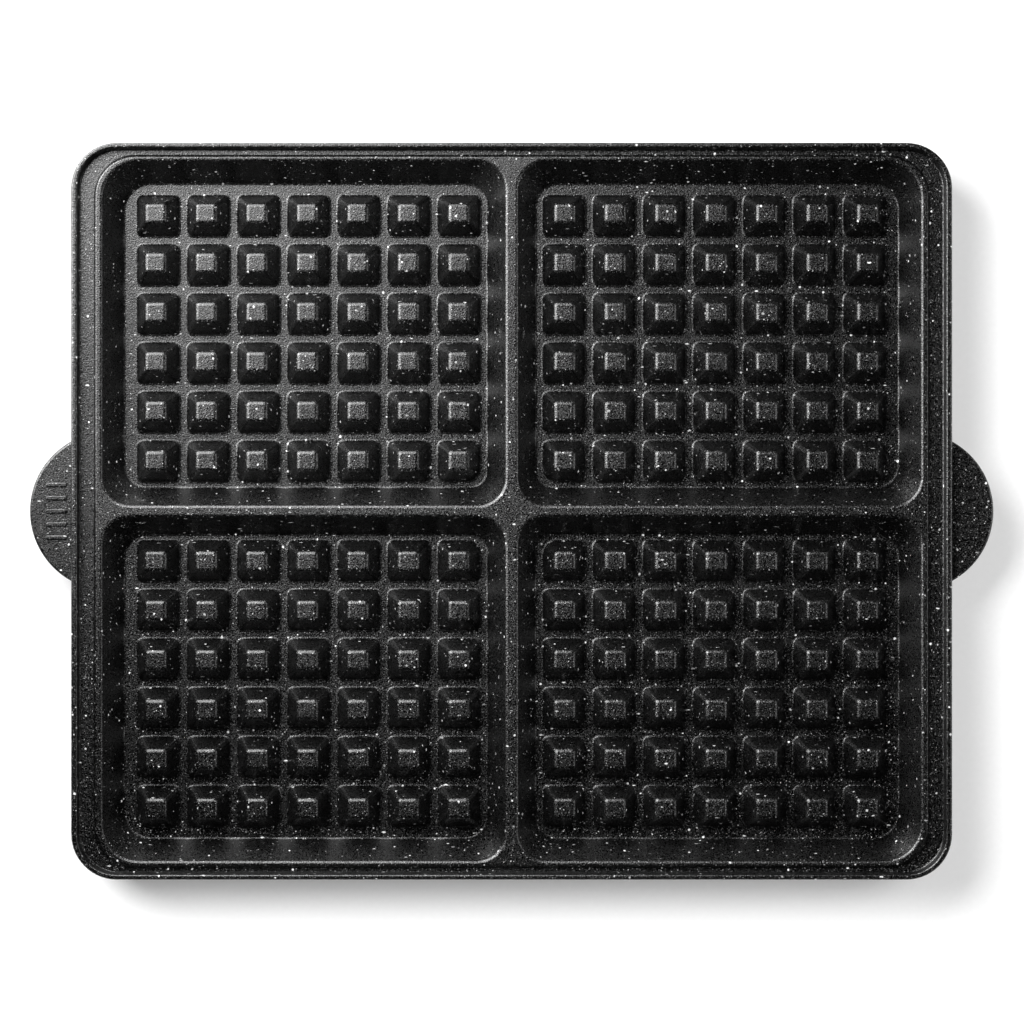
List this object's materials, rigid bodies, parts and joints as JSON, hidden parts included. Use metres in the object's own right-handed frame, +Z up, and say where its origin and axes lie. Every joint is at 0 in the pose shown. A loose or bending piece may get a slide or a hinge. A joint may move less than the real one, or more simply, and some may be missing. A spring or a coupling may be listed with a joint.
{
  "type": "waffle plate",
  "caption": "Removable waffle plate of a countertop cooker: pegged rectangular cavities, overflow moat, lifting tabs, sealed heater and plug-in connector underneath.",
  "frame": {"origin": "centre of the plate in plan, at the level of the feet", "axes": "+Z up out of the cooking side, +X to the right lifting tab (the long way), +Y to the rear edge with the connector"},
  "size_m": [0.3072, 0.2342, 0.026],
  "materials": {
    "coated_casting": "black speckled non-stick coating, semi-matte",
    "element_sheath": "dark oxidised heater sheath",
    "seal_ceramic": "unglazed steatite",
    "terminal_metal": "tin-plated brass",
    "pressed_steel": "aluminised steel sheet, satin",
    "screw_steel": "stainless, satin",
    "silicone": "red-brown high-temperature silicone",
    "connector_plastic": "black heat-resistant moulding",
    "cutout_case": "pale glass-fibre sleeve",
    "lead_brown": "silicone insulation",
    "lead_blue": "silicone insulation",
    "lead_green": "silicone insulation"
  },
  "bodies": {
    "root": {"waffle_plate": "coated_casting", "heating_element": "element_sheath", "element_end_seals": "seal_ceramic", "element_terminals": "terminal_metal", "element_straps": "pressed_steel", "strap_screws": "screw_steel", "back_cover": "pressed_steel", "cover_gasket": "silicone", "cover_screws": "screw_steel", "connector_housing": "connector_plastic", "live_blade": "terminal_metal", "neutral_blade": "terminal_metal", "earth_blade": "terminal_metal", "connector_gasket": "silicone", "connector_screws": "screw_steel", "thermal_cutout": "cutout_case", "cutout_clip": "pressed_steel", "cutout_screw": "screw_steel", "splice_crimps": "terminal_metal", "live_lead": "lead_brown", "cutout_lead": "lead_brown", "neutral_lead": "lead_blue", "earth_lead": "lead_green", "push_on_terminals": "terminal_metal", "earth_ring_terminal": "terminal_metal", "earth_screw": "screw_steel"}
  },
  "joints": []
}
